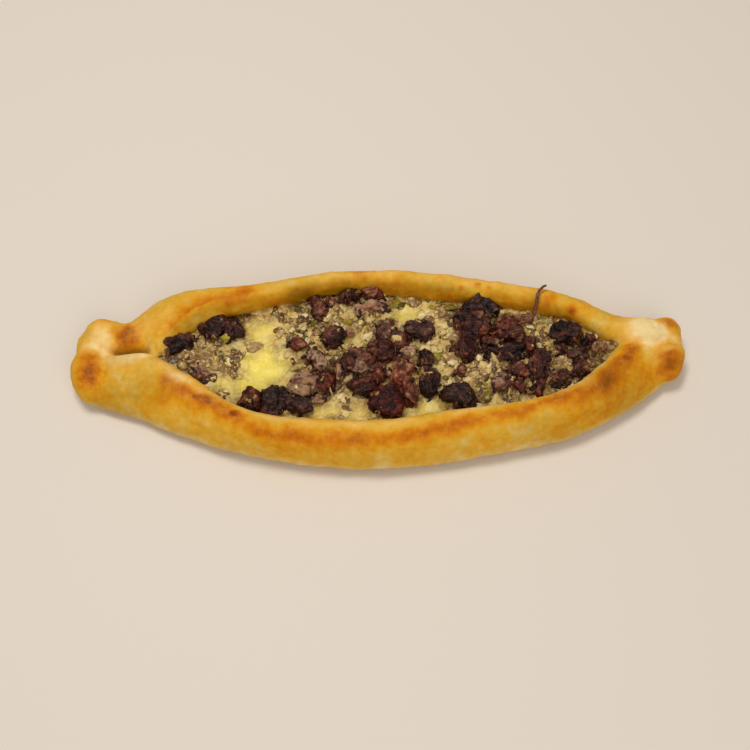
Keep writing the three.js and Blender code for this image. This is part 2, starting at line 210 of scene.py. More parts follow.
def places(mesh):
    co = np.empty(3 * len(mesh.vertices))
    mesh.vertices.foreach_get("co", co)
    return co.reshape(-1, 3) / MM


def put(mesh, at):
    mesh.vertices.foreach_set("co", (at * MM).ravel())
    mesh.update()


def outward(mesh):
    way = np.empty(3 * len(mesh.vertices))
    mesh.vertex_normals.foreach_get("vector", way)
    return way.reshape(-1, 3)


def attribute(mesh, name, values):
    mesh.attributes.new(name, "FLOAT", "POINT").data.foreach_set("value", np.asarray(values, np.float32))


def box_of(node):
    low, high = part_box(node)
    return np.array(low) / MM, np.array(high) / MM


# ---- Noise --------------------------------------------------------------------------------------

DIRECTIONS = np.array([way for way in itertools.product((-1, 0, 1), repeat=3) if np.abs(way).sum() == 2])


def noise(at, size, seed):
    """Smooth random numbers from about -1 to 1 that change over size, a length or one for each axis.

    Each use has a seed of its own, so that no two follow each other."""
    table = np.random.default_rng(seed).permutation(256)
    grid = at / size
    cell = np.floor(grid).astype(int)
    within = grid - cell
    fade = within**3 * (within * (within * 6 - 15) + 10)
    total = np.zeros(len(at))
    for corner in itertools.product((0, 1), repeat=3):
        x, y, z = ((cell + corner) & 255).T
        turn = table[(table[(table[x] + y) & 255] + z) & 255]
        weight = np.prod(np.where(corner, fade, 1 - fade), axis=1)
        total += weight * np.einsum("ij,ij->i", within - corner, DIRECTIONS[turn % len(DIRECTIONS)])
    return total


def layered(at, size, seed, layers=3):
    return sum(noise(at, size / 2**i, seed + i) / 2**i for i in range(layers))


def wandered(at, size, reach, seed):
    """The places pushed about sideways, so that what is drawn from them gets uneven outlines."""
    push = [noise(at, size, seed), noise(at, size, seed + 1), np.zeros(len(at))]
    return at + reach * np.stack(push, axis=1)


def smoothstep(value, low, high):
    t = np.clip((value - low) / (high - low), 0, 1)
    return t * t * (3 - 2 * t)


def from_line(path, at):
    """How far each place is from a line seen from above, its side (-1 or 1), and how far along it is."""
    path = np.array(path, float)
    run = np.concatenate([[0], np.cumsum(np.hypot(*np.diff(path, axis=0).T))])
    away = np.full(len(at), np.inf)
    side, share = np.zeros(len(at)), np.zeros(len(at))
    for i, (a, b) in enumerate(zip(path[:-1], path[1:])):
        way = b - a
        t = np.clip((at[:, :2] - a) @ way / (way @ way), 0, 1)
        off = at[:, :2] - a - t[:, None] * way
        distance = np.hypot(*off.T)
        near = distance < away
        away[near] = distance[near]
        share[near] = ((run[i] + t * (run[i + 1] - run[i])) / run[-1])[near]
        side[near] = np.sign(way[0] * off[:, 1] - way[1] * off[:, 0])[near]
    return away, side, share


ENDS = 0.12  # the share of a line over which it fades in and out


def faded_ends(share):
    return smoothstep(share, -0.02, ENDS) * smoothstep(1 - share, -0.02, ENDS)


def stripe(at, path, width):
    away, _, share = from_line(path, at)
    return np.exp(-((away / width) ** 2)) * faded_ends(share)


def patch(at, x, y, half_x, half_y):
    return np.exp(-((((at[:, 0] - x) / half_x) ** 2 + ((at[:, 1] - y) / half_y) ** 2) ** 1.4))


# ---- Meshes -------------------------------------------------------------------------------------


def added(name, mesh):
    piece = bpy.data.objects.new(name, mesh)
    bpy.context.scene.collection.objects.link(piece)
    return piece


def fine_copy(name, node, cell, smoothing):
    """The CAD node's closed surface again, in faces of one size with its edges smoothed."""
    piece = added(name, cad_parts[node].data.copy())
    remesh = piece.modifiers.new("remesh", "REMESH")
    remesh.mode = "VOXEL"
    remesh.voxel_size = cell * MM
    smooth = piece.modifiers.new("smooth", "SMOOTH")
    smooth.iterations = smoothing
    mesh = bpy.data.meshes.new_from_object(piece.evaluated_get(bpy.context.evaluated_depsgraph_get()))
    piece.modifiers.clear()
    piece.data = mesh
    mesh.name = name
    return piece


def dressed(piece, material, slot, *nodes):
    piece.data.materials.clear()
    piece.data.materials.append(material)
    piece.data.shade_smooth()
    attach(piece, "root")
    if nodes:
        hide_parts(*nodes)
    return piece


def tree_of(pieces):
    """The pieces' faces in millimetres, for rays to meet."""
    points, faces = [], []
    for piece in pieces:
        first = len(points)
        points += places(piece.data).tolist()
        faces += [[first + corner for corner in face.vertices] for face in piece.data.polygons]
    return BVHTree.FromPolygons(points, faces)


def tops(tree, x, y):
    """Heights of the highest surface over the places x, y; -SKY where there is none."""
    made = np.full(len(x), -float(SKY))
    for i, place in enumerate(zip(x.tolist(), y.tolist())):
        hit = tree.ray_cast(Vector((*place, SKY)), Vector((0, 0, -1)))[0]
        if hit:
            made[i] = hit.z
    return made


def within_box(at, low, high):
    """The places scaled and moved so that their box is the one from low to high."""
    start, end = at.min(0), at.max(0)
    return low + (at - start) / (end - start) * (high - low)


def turned(*angles):
    return np.array(Euler(angles).to_matrix()).T


# ---- Materials ----------------------------------------------------------------------------------


def colour(code):
    """A linear colour from a hex code as it looks on a screen."""
    parts = [int(code[i : i + 2], 16) / 255 for i in (0, 2, 4)]
    return (*[p / 12.92 if p <= 0.04045 else ((p + 0.055) / 1.055) ** 2.4 for p in parts], 1)


class Shader:
    """A material under construction: nodes are made by kind, and their inputs set by name or number."""

    def __init__(self, name):
        self.material = bpy.data.materials.new(name)
        self.material.use_nodes = True
        self.tree = self.material.node_tree
        self.principled = self.tree.nodes["Principled BSDF"]

    def link(self, node, inputs):
        for key, value in inputs.items():
            socket = node.inputs[key]
            if isinstance(value, bpy.types.NodeSocket):
                self.tree.links.new(value, socket)
            else:
                socket.default_value = value
        return node

    def node(self, kind, inputs=None, **settings):
        made = self.tree.nodes.new("ShaderNode" + kind)
        for key, value in settings.items():
            setattr(made, key, value)
        return self.link(made, inputs or {})

    def finish(self, **inputs):
        self.link(self.principled, {key.replace("_", " "): value for key, value in inputs.items()})
        return self.material

    def value_of(self, name):
        return self.node("Attribute", attribute_name=name).outputs["Fac"]

    def noise(self, size, detail=3):
        """Noise over lengths of size mm."""
        place = self.node("NewGeometry").outputs["Position"]
        inputs = {"Vector": place, "Scale": 1 / (size * MM), "Detail": detail, "Roughness": 0.55}
        return self.node("TexNoise", inputs).outputs["Fac"]

    def cloud(self, size, low, high, detail=3):
        """Noise spread from low to high."""
        return self.spread(self.noise(size, detail), 0.3, 0.7, low, high)

    def maths(self, operation, *values, clamp=False):
        inputs = dict(enumerate(values))
        return self.node("Math", inputs, operation=operation, use_clamp=clamp).outputs[0]

    def total(self, first, *others):
        """The sum, held between 0 and 1."""
        for other in others[:-1]:
            first = self.maths("ADD", first, other)
        return self.maths("ADD", first, others[-1], clamp=True)

    def spread(self, value, low, high, to_low=0.0, to_high=1.0):
        inputs = {"Value": value, "From Min": low, "From Max": high, "To Min": to_low, "To Max": to_high}
        return self.node("MapRange", inputs).outputs["Result"]

    def ramp(self, value, stops):
        made = self.node("ValToRGB", {"Fac": value})
        elements = made.color_ramp.elements
        for element, (place, code) in zip([elements[0], elements[1]], (stops[0], stops[-1])):
            element.position, element.color = place, colour(code)
        for place, code in stops[1:-1]:
            elements.new(place).color = colour(code)
        return made.outputs["Color"]

    def mix(self, share, a, b):
        made = self.node("Mix", data_type="RGBA")
        self.link(made, {0: share, 6: a, 7: b})
        return made.outputs[2]

    def bump(self, height, depth, strength=1.0, below=None):
        """depth in mm of what height from 0 to 1 stands up."""
        inputs = {"Height": height, "Distance": depth * MM, "Strength": strength}
        if below:
            inputs["Normal"] = below
        return self.node("Bump", inputs).outputs["Normal"]


def dough_material():
    s = Shader("baked_dough")
    brown, pale = s.value_of("brown"), s.value_of("pale")
    speckle = s.spread(s.noise(0.9, 2), 0.6, 0.75, 0.0, 0.06)
    baked = s.total(brown, s.cloud(11, -0.12, 0.12, 4), s.cloud(3.4, -0.07, 0.07), speckle)
    crust = s.ramp(baked, [
        (0.0, "EAD4A8"), (0.2, "E8CD86"), (0.4, "E5B23C"), (0.56, "E09A12"),
        (0.7, "D68206"), (0.85, "C26A02"), (1.0, "924A02"),
    ])
    straw = s.mix(s.cloud(7, 0.0, 0.6), crust, colour("CE9C1C"))
    gold = s.mix(s.spread(baked, 0.3, 0.62, 1.0, 0.0), crust, straw)
    # Cream: paler dough, and painted highlights along the rims.
    paleness = s.total(pale, s.cloud(4, -0.12, 0.12))
    cream = s.ramp(paleness, [(0.3, "FCC45C"), (0.85, "F9DC9C")])
    dough = s.mix(s.spread(paleness, 0.0, 0.75), gold, cream)
    # Olive: painted shade in the deep seam and along the foot, and juice soaked in with painted shade on the
    # back rim's inner wall.
    soaked_and_shaded = s.mix(s.total(s.value_of("olive"), s.cloud(3, -0.08, 0.08)), dough, colour("765400"))
    flour = s.maths("MULTIPLY", s.spread(s.noise(1.6, 3), 0.56, 0.7), s.value_of("flour"))
    base = s.mix(flour, soaked_and_shaded, colour("F0E2C2"))
    fine = s.bump(s.noise(0.6, 3), 0.1, 0.7)
    skin = s.bump(s.noise(2.4, 4), 0.5, 0.7, below=fine)
    return s.finish(
        Base_Color=base,
        Roughness=s.spread(baked, 0.2, 0.9, 0.7, 0.5),
        Normal=skin,
        Specular_IOR_Level=0.12,
        Subsurface_Weight=0.08,
        Subsurface_Radius=(0.004, 0.002, 0.001),
        Subsurface_Scale=0.6,
    )


# ---- The crust ----------------------------------------------------------------------------------


def close_tip(at):
    """Moves the rims in over the filling's right end."""
    away = np.hypot(*(at[:, :2] - TIP["middle"]).T)
    at[:, 0] -= TIP["in"] * np.exp(-((away / TIP["reach"]) ** 2)) * smoothstep(at[:, 2], *TIP["heights"])


def press_creases(at, upper):
    """Presses the seams and folds in where the dough looks up, and raises a lip on the front side of each."""
    for crease in CREASES:
        away, side, share = from_line(crease["path"], at)
        held = faded_ends(share) * upper
        at[:, 2] -= crease["depth"] * np.exp(-((away / crease["width"]) ** 2)) * held
        lip = np.exp(-(((away - LIP_PLACE * crease["width"]) / (LIP_WIDTH * crease["width"])) ** 2))
        at[:, 2] += crease["lip"] * lip * held * (side < 0)


def shape_crust(mesh):
    at, way = places(mesh), outward(mesh)
    upper = smoothstep(way[:, 2], -0.1, 0.35)
    swells, bumps, grain = 0.6 * layered(at, 19, 1), 0.34 * noise(at, 6, 5), 0.16 * noise(at, 2.6, 6)
    at += way * (CRUST_GROWTH + swells + bumps + grain)[:, None]
    blisters = np.maximum(0, noise(at, BLISTER_SIZE, 8) - BLISTER_FROM) ** 1.2 * BLISTER_HEIGHT
    at += way * (blisters * upper)[:, None]
    close_tip(at)
    press_creases(at, upper)
    put(mesh, within_box(at, *box_of("crust")))


def colour_crust(mesh):
    """How browned, pale, olive and floury the crust is at each place, for its material. The pale holds
    painted highlights too, and the olive painted shade.
    """
    at, way = places(mesh), outward(mesh)
    height = smoothstep(at[:, 2], PALE_BELOW, GOLDEN_ABOVE)
    above = smoothstep(at[:, 2], TOPPED - 1, TOPPED + 1)
    under = smoothstep(-way[:, 2], 0.6, 0.95)
    spread = wandered(at, 9, 2.2, 21)
    uneven = 1 + 0.34 * layered(at, 9, 25)

    def add_stripes(values, lines):
        for line in lines:
            values += line["much"] * stripe(spread, line["path"], line["width"]) * uneven * above

    def add_patches(values, patches, share=1):
        for *spot, much in patches:
            values += much * patch(spread, *spot) * share

    brown = SIDE_BROWN[0] + (SIDE_BROWN[1] - SIDE_BROWN[0]) * height
    add_stripes(brown, STRIPES)
    add_patches(brown, BROWN_PATCHES, above)
    brown += under * (0.2 + 0.3 * layered(at, 16, 31))
    # Pale: painted highlights along the rims from the stripes, and paler unbaked dough in the patches.
    pale = np.zeros(len(at))
    add_stripes(pale, HIGHLIGHT_STRIPES)
    add_patches(pale, PALE_PATCHES, above)
    # The olive: painted contact shadow along the foot, painted shade from the stripes with juice on the back
    # rim's inner wall, and darker gold in the patches.
    olive = FOOT_PAINTED_SHADOW * (1 - smoothstep(at[:, 2], *FOOT_HEIGHTS))
    add_stripes(olive, OLIVE_STRIPES)
    add_patches(olive, OLIVE_PATCHES)
    attribute(mesh, "brown", np.clip(brown, 0, 0.95))
    attribute(mesh, "pale", np.clip(pale, 0, 1))
    attribute(mesh, "olive", np.clip(olive, 0, 1) * (1 - under))
    attribute(mesh, "flour", np.clip(under * 0.8 + 0.12 * (1 - height), 0, 1))


def baked_crust():
    piece = fine_copy("baked_crust", "crust", CRUST_CELL, CRUST_SMOOTHING)
    shape_crust(piece.data)
    colour_crust(piece.data)
    return dressed(piece, dough_material(), "baked_dough", "crust")


# ---- Roast meat ---------------------------------------------------------------------------------

MEAT_CELL = 0.5
MEAT_SMOOTHING = 3
MEAT_GROWTH = 0.9
SUNK = 1.6  # how far each chunk reaches down into the cheese under it
CLUMP_VOLUME = 420  # of its box, for each of the lumps that a chunk is torn into
CLUMP_EDGE = 0.3
FLATTENINGS = 9
STRAND, BUNDLE = np.array((11, 1.5, 1.5)), np.array((12, 3.6, 3.6))  # lengths and widths of its fibres
APART = 40  # takes each chunk to noise of its own
# A chunk's relief by its kinds: how far each stands out, and how much lighter it is painted there, painted
# light where it stands out and painted shade in the cracks.
RELIEF = {
    "strands": (0.45, 0.2),
    "bundles": (0.8, 0.22),
    "torn": (0.8, 0.16),
    "ragged": (0.6, 0.0),
    "crack": (-0.6, -0.2),
}
# What makes a chunk lighter, redder or greyer than the very dark brown of the rest: node, light, red, and the
# share of painted bluish-grey sheen on its upper faces.
MEAT_TONES = {
    "meat_01": (0.05, 0.3, 0.0), "meat_02": (0.0, 0.3, 0.1), "meat_03": (0.0, 0.3, 0.4),
    "meat_04": (0.85, 0.3, 0.1), "meat_05": (0.05, 0.8, 0.0), "meat_06": (0.0, 0.1, 0.3),
    "meat_07": (0.05, 0.2, 0.4), "meat_08": (0.85, 0.3, 0.5), "meat_09": (0.1, 0.8, 0.1),
    "meat_10": (0.3, 0.5, 0.2), "meat_11": (0.75, 0.3, 0.2), "meat_13": (0.95, 0.5, 0.0),
    "meat_14": (0.3, 0.4, 0.1), "meat_15": (0.65, 0.4, 0.1), "meat_16": (0.0, 0.4, 0.0),
    "meat_17": (0.35, 0.7, 0.1), "meat_18": (1.0, 0.4, 0.1), "meat_19": (1.0, 0.5, 0.1),
    "meat_20": (0.6, 0.3, 0.4), "meat_21": (0.45, 0.3, 0.4), "meat_23": (0.1, 0.6, 0.1),
    "meat_24": (0.35, 0.5, 0.1), "meat_25": (0.6, 0.8, 0.1), "meat_26": (0.15, 1.0, 0.0),
    "meat_27": (0.3, 0.3, 0.1), "meat_28": (0.12, 0.3, 0.2), "meat_29": (0.25, 0.2, 0.5),
    "meat_30": (0.95, 0.3, 0.4), "meat_31": (0.0, 0.3, 0.4), "meat_33": (0.35, 0.5, 0.2),
    "meat_34": (0.0, 0.1, 0.0), "meat_36": (0.15, 0.7, 0.1), "meat_38": (0.05, 0.8, 0.0),
    "meat_39": (0.05, 0.5, 0.1), "meat_40": (0.15, 0.2, 0.5), "meat_41": (0.0, 0.3, 0.1),
    "meat_43": (0.3, 0.3, 0.4), "meat_44": (0.45, 0.3, 0.1), "meat_45": (0.35, 0.3, 0.1),
    "meat_46": (0.7, 0.5, 0.1), "meat_47": (0.6, 0.2, 0.4), "meat_48": (0.7, 0.3, 0.1),
    "meat_50": (0.65, 0.4, 0.2), "meat_51": (0.55, 0.4, 0.1), "meat_52": (0.8, 0.3, 0.1),
    "meat_53": (0.5, 0.4, 0.2), "meat_54": (0.6, 0.5, 0.1), "meat_55": (0.5, 0.4, 0.1),
}
DARK_TONE = (0.18, 0.35, 0.12)


def meat_material():
    s = Shader("roast_meat")
    tone = s.total(s.value_of("light"), s.cloud(2.6, -0.12, 0.16, 4), s.cloud(0.9, -0.1, 0.14))
    purple = s.ramp(tone, [(0.0, "090303"), (0.3, "2A120D"), (0.6, "5E3928"), (1.0, "B29274")])
    reddish = s.ramp(tone, [(0.0, "120302"), (0.3, "401006"), (0.6, "742E16"), (1.0, "B27650")])
    brown = s.mix(s.total(s.value_of("red"), s.cloud(5, -0.15, 0.15, 2)), purple, reddish)
    # Painted sheen: bluish grey painted over the chunks' upper faces as a glossy highlight.
    painted_sheen = s.maths("MULTIPLY", s.value_of("painted_sheen"), s.spread(s.noise(2, 3), 0.42, 0.62), clamp=True)
    base = s.mix(painted_sheen, brown, s.ramp(s.noise(3, 2), [(0.3, "3E302E"), (0.7, "7A645C")]))
    return s.finish(
        Base_Color=base,
        Roughness=s.cloud(1.8, 0.26, 0.66),
        Normal=s.bump(s.noise(0.6, 3), 0.24, 0.8),
        Specular_IOR_Level=0.2,
    )


def pressed_flat(at, middle, half, random):
    """The places pressed against planes inside the chunk's round form, so that it has faces and edges."""
    for _ in range(FLATTENINGS):
        way = random.normal(0, 1, 3) * (1, 1, 0.8)
        way /= np.linalg.norm(way)
        limit = random.uniform(0.66, 0.92) * np.linalg.norm(way * half)
        beyond = np.maximum((at - middle) @ way - limit, 0)
        at = at - 0.9 * beyond[:, None] * way
    return at


def torn_apart(at, low, high, random):
    """Where a chunk's lumps have their middles, and each place's share in each of them."""
    count = int(np.clip(np.prod(high - low) / CLUMP_VOLUME, 2, 8))
    middles = low + random.uniform(0.08, 0.92, (count, 3)) * (high - low)
    away = np.linalg.norm(wandered(at, 3, 1.4, 47)[:, None] - middles, axis=2)
    share = np.exp(-(away - away.min(1, keepdims=True)) / CLUMP_EDGE)
    return middles, share / share.sum(1, keepdims=True)


def fibres(at, middles, share, crosswise, number, random):
    """Thin strands and thicker bundles that run along each lump, from about -1 to 1."""
    along = math.pi / 2 * crosswise + random.uniform(-0.5, 0.5)
    strands, bundles = np.zeros(len(at)), np.zeros(len(at))
    for middle, part in zip(middles, share.T):
        held = part > 0.02
        lie = turned(random.uniform(-0.5, 0.5), random.uniform(-0.4, 0.4), along + random.uniform(-0.5, 0.5))
        own = (at[held] - middle) @ lie.T + APART * number
        strands[held] += part[held] * (1 - 2.4 * np.abs(noise(own, STRAND, 41)))
        bundles[held] += part[held] * noise(own, BUNDLE, 42)
    return strands, bundles


def sunk_in(at, bottom):
    """The places with the chunk's foot drawn down into the cheese under its bottom."""
    at[:, 2] -= SUNK * smoothstep(bottom + 2.5 - at[:, 2], 0, 2.5)
    at[:, 2] = np.maximum(at[:, 2], bottom - SUNK)
    return at


def roast_piece(node, number, material):
    piece = fine_copy(f"roast_{number:02d}", node, MEAT_CELL, MEAT_SMOOTHING)
    mesh = piece.data
    at, way = places(mesh), outward(mesh)
    low, high = box_of(node)
    random = np.random.default_rng(number)
    at = pressed_flat(at + MEAT_GROWTH * way, (low + high) / 2, (high - low) / 2, random)
    put(mesh, at)
    way = outward(mesh)
    middles, share = torn_apart(at, low, high, random)
    own = at + APART * number
    strands, bundles = fibres(at, middles, share, high[1] - low[1] > high[0] - low[0], number, random)
    relief = {
        "strands": strands,
        "bundles": bundles,
        "torn": layered(own, 5.5, 43) - 1.4 * np.abs(noise(own, 7, 45)) + 0.3,
        "ragged": layered(own, 2.6, 44, 2),
        "crack": smoothstep(1 - share.max(1), 0.05, 0.5),
    }
    grown = share @ random.uniform(-1.0, 0.7, len(middles))
    lighter = np.zeros(len(at))
    for kind, (height, shade) in RELIEF.items():
        grown += height * relief[kind]
        lighter += shade * relief[kind]
    put(mesh, sunk_in(at + way * grown[:, None], low[2]))

    light, red, painted_sheen = MEAT_TONES.get(node, DARK_TONE)
    own_light = share @ random.uniform(-0.16, 0.16, len(middles))
    own_red = share @ random.uniform(-0.2, 0.2, len(middles))
    # Upward faces are painted lighter, as lit from above, and carry more painted sheen; the relief adds
    # painted light where it stands out and painted shade in its cracks.
    upward = smoothstep(outward(mesh)[:, 2], 0.2, 0.9)
    attribute(mesh, "light", 0.75 * light + own_light + lighter + 0.1 * upward)
    attribute(mesh, "red", red + own_red)
    attribute(mesh, "painted_sheen", np.clip(0.7 * painted_sheen * (0.3 + 0.7 * upward) + 1.5 * painted_sheen * own_light, 0, 1))
    return dressed(piece, material, "roast_meat", node)


def roast_meat():
    material = meat_material()
    nodes = sorted(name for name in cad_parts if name.startswith("meat_"))
    return [roast_piece(node, number, material) for number, node in enumerate(nodes, 1)]


# ---- Melted cheese ------------------------------------------------------------------------------

CHEESE_CELL = 0.6
CHEESE_MARGIN = 3  # of the grid round the CAD form
CHEESE_LEVEL = 14.2
UNDER_ROLL = 2  # how far it reaches on under the rolled edge, into the dough
LUMPS = ((5.2, 2.2, 0.75), (2.6, 0.4, 0.25))  # spacing, height and share of the colour of each layer of lumps
CLIMB = 2.2  # how far from a chunk of meat the cheese rises towards it
DRAPED = (0.34, 0.58)  # noise between which the cheese goes from under the chunks to over them
# Where it melted smooth: x, y, half-lengths, how smooth and how yellow.
SMOOTH_CHEESE = [
    (-64, -1, 15, 16, 1.0, 1.0), (-66, 22, 11, 11, 0.9, 0.7), (-86, -11, 10, 7, 0.85, 0.62),
    (-73, -13, 11, 8, 0.95, 0.9), (-31, -30, 10, 7, 0.8, 0.62), (-12, -33, 9, 6, 0.85, 0.55),
    (26, -31, 12, 7, 0.85, 0.66), (18, 32, 13, 6, 0.75, 0.6), (-15, 18, 7, 8, 0.7, 0.35),
    (35, 24, 6, 5, 0.4, 0.35), (-46, 29, 8, 6, 0.4, 0.55), (38, -4, 4, 5, 0.5, 0.6),
    (97, 6, 7, 6, 0.4, 0.5), (95, 24, 6, 5, 0.5, 0.45),
]
PLAIN_YELLOW = 0.15  # how yellow the rest is
# Where it is darker, from juice and oil, and along the rims from painted shade: x, y, half-lengths, how much.
JUICE_AND_SHADE = [
    (-112, 8, 12, 12, 0.5), (-98, 22, 14, 6, 0.8), (-96, 4, 16, 10, 0.3), (-6, 28, 6, 4, 0.5),
    (-124, 12, 6, 6, 0.8), (-84, 24, 8, 8, 0.7), (-76, 33, 16, 5, 0.9), (-45, 40, 18, 5, 0.8),
    (-14, 45, 18, 4.4, 0.8), (20, 44, 22, 4, 0.7), (60, 37, 22, 4, 0.6), (100, 27, 20, 5, 0.7),
    (124, 6, 11, 10, 0.7), (112, 12, 12, 8, 0.5), (62, 20, 17, 14, 0.7), (60, 6, 22, 10, 0.34),
    (108, -2, 20, 12, 0.42), (70, -22, 24, 6, 0.2), (-46, 4, 9, 9, 0.4), (-20, -14, 20, 12, 0.4),
    (36, 2, 5, 5, 0.3), (-62, -24, 16, 8, 0.5), (-4, -4, 14, 14, 0.3), (-104, -5, 8, 5, 0.5),
    (-92, -13, 8, 5, 0.5), (-80, -22, 8, 5, 0.6),
]
# Beside a chunk the cheese is darkened by its juice and by painted shade.
DARKENING_REACH = 2.2  # how far from a chunk its juice darkens the cheese
OPENING = tree_of([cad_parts["cheese"]])


def cheese_material():
    s = Shader("melted_cheese")
    yellow, stain_and_shade, lump, shown = (s.value_of(name) for name in ("yellow", "stain_and_shade", "lump", "shown"))
    melted = s.ramp(s.total(yellow, s.cloud(4, -0.18, 0.18, 4)), [
        (0.0, "D0AC58"), (0.3, "E3C468"), (0.6, "EED468"), (1.0, "FAE25A"),
    ])
    # Lumps under the cheese: mince, pepper and curds, by a number that each lump has.
    kinds = s.ramp(s.total(lump, s.cloud(1.5, -0.07, 0.07)), [
        (0.0, "3E2614"), (0.12, "694928"), (0.25, "92703E"), (0.35, "7E6C24"),
        (0.44, "B08C4C"), (0.58, "D0AE66"), (0.8, "E2C67C"), (1.0, "ECD898"),
    ])
    bare = s.maths("MULTIPLY", shown, s.spread(s.noise(1.3, 3), 0.3, 0.5), clamp=True)
    surface = s.mix(bare, melted, kinds)
    # The stain colour: juice and oil where they soaked in, and painted shade in the gaps between lumps,
    # beside the chunks and along the rims.
    stain_and_shade_colour = s.ramp(s.noise(2.5, 3), [(0.3, "3A2208"), (0.7, "7E5A1A")])
    stained_and_shaded = s.maths("MULTIPLY", stain_and_shade, s.spread(s.noise(1.4, 3), 0.32, 0.6, 0.3, 1.0), clamp=True)
    return s.finish(
        Base_Color=s.mix(stained_and_shaded, surface, stain_and_shade_colour),
        Roughness=s.cloud(1.2, 0.26, 0.5),
        Normal=s.bump(s.noise(0.8, 3), 0.22, 0.5),
        Specular_IOR_Level=0.36,
        Subsurface_Weight=0.12,
        Subsurface_Radius=(0.003, 0.002, 0.001),
        Subsurface_Scale=0.5,
    )


def nearest(points, x, y, count=1):
    """For every place the nearest of the points: their numbers and distances, one column each."""
    tree = KDTree(len(points))
    for i, point in enumerate(points):
        tree.insert((*point, 0), i)
    tree.balance()
    found = [tree.find_n((*place, 0), count) for place in zip(x.tolist(), y.tolist())]
    numbers = np.array([[hit[1] for hit in hits] for hits in found])
    return numbers, np.array([[hit[2] for hit in hits] for hits in found])


def lumps(at, low, high, spacing, random):
    """A layer of uneven lumps over the plan: the number of the lump at each place, and 0 at its edge to 1."""
    seeds = [
        (x + random.uniform(-0.5, 0.5) * spacing, y + random.uniform(-0.5, 0.5) * spacing)
        for x in np.arange(low[0] - 6, high[0] + 6, spacing)
        for y in np.arange(low[1] - 6, high[1] + 6, spacing)
    ]
    bent = wandered(at, 0.9 * spacing, 0.55 * spacing, 71)
    which, away = nearest(seeds, bent[:, 0], bent[:, 1], 2)
    inside = np.clip((away[:, 1] - away[:, 0]) / (0.55 * spacing), 0, 1)
    return which[:, 0], len(seeds), np.sqrt(inside * (2 - inside))


def spread_out(mask, steps):
    """A grid's mask, grown by a number of cells each way."""
    for _ in range(steps):
        grown = mask.copy()
        grown[1:] |= mask[:-1]
        grown[:-1] |= mask[1:]
        grown[:, 1:] |= mask[:, :-1]
        grown[:, :-1] |= mask[:, 1:]
        mask = grown
    return mask


def slab(name, xs, ys, top, bottom, mask):
    """A closed slab over the grid's masked corners, between the heights top and bottom."""
    cells = mask[:-1, :-1] & mask[1:, :-1] & mask[1:, 1:] & mask[:-1, 1:]
    used = np.zeros_like(mask)
    for dx, dy in ((0, 0), (1, 0), (1, 1), (0, 1)):
        used[dx : dx + cells.shape[0], dy : dy + cells.shape[1]] |= cells
    number = np.full(mask.shape, -1)
    number[used] = np.arange(used.sum())
    gx, gy = np.meshgrid(xs, ys, indexing="ij")
    upper = np.stack([gx[used], gy[used], top[used]], axis=1)
    lower = np.stack([gx[used], gy[used], np.full(used.sum(), bottom)], axis=1)
    i, j = np.nonzero(cells)
    quads = np.stack([number[i, j], number[i + 1, j], number[i + 1, j + 1], number[i, j + 1]], axis=1)
    # Two faces run along the edge that they share in opposite directions, and a rim edge has only one.
    edges = dict.fromkeys((a, b) for quad in quads.tolist() for a, b in zip(quad, quad[1:] + quad[:1]))
    rim = [(a, b) for a, b in edges if (b, a) not in edges]
    count = len(upper)
    walls = [[b, a, a + count, b + count] for a, b in rim]
    faces = quads.tolist() + (quads[:, ::-1] + count).tolist() + walls
    mesh = bpy.data.meshes.new(name)
    mesh.from_pydata((np.concatenate([upper, lower]) * MM).tolist(), [], faces)
    return added(name, mesh), used


def cheese_zones(at):
    """How smooth, how yellow, and how darkened by juice and by painted shade the cheese is at each place."""
    spread = wandered(at, 8, 3.5, 51)
    smooth, yellow, juice_and_shade = np.zeros(len(at)), np.full(len(at), PLAIN_YELLOW), np.zeros(len(at))
    for *spot, much, gold in SMOOTH_CHEESE:
        here = patch(spread, *spot)
        smooth = np.maximum(smooth, much * here)
        yellow = np.maximum(yellow, gold * here)
    for *spot, much in JUICE_AND_SHADE:
        juice_and_shade = np.maximum(juice_and_shade, much * patch(spread, *spot))
    return smooth, yellow, juice_and_shade


def lumpy_level(at, low, high, rough):
    """The cheese's height with its lumps, what kind of lump each place is on, and how near its middle."""
    random = np.random.default_rng(3)
    level = CHEESE_LEVEL + layered(at, 15, 55)
    kind, dome = np.zeros(len(at)), np.zeros(len(at))
    for spacing, tall, share in LUMPS:
        which, count, inside = lumps(at, low, high, spacing, random)
        level += rough * random.uniform(0.1, 1, count)[which] * tall * inside
        kind += share * random.uniform(-0.25, 1.25, count)[which]
        dome += share * inside
    level += 0.25 * layered(at, 2.2, 58, 2) * rough
    return level, kind, dome


def draped(at, level, chunks, chunk_tops):
    """The level raised towards the chunks, how much cheese lies on them, and how far away the nearest is."""
    closest, to_meat = nearest(chunks[:, :2], at[:, 0], at[:, 1])
    closest, to_meat = closest[:, 0], to_meat[:, 0]
    drape = smoothstep(layered(at, 7, 59), *DRAPED)
    over = chunk_tops[closest] - 1.2 + 1.8 * drape + 0.3 * noise(at, 2.5, 60)
    climb = np.exp(-((to_meat / CLIMB) ** 2)) * (0.4 + 0.6 * drape)
    return level + np.maximum(over - level, 0) * climb, drape, to_meat


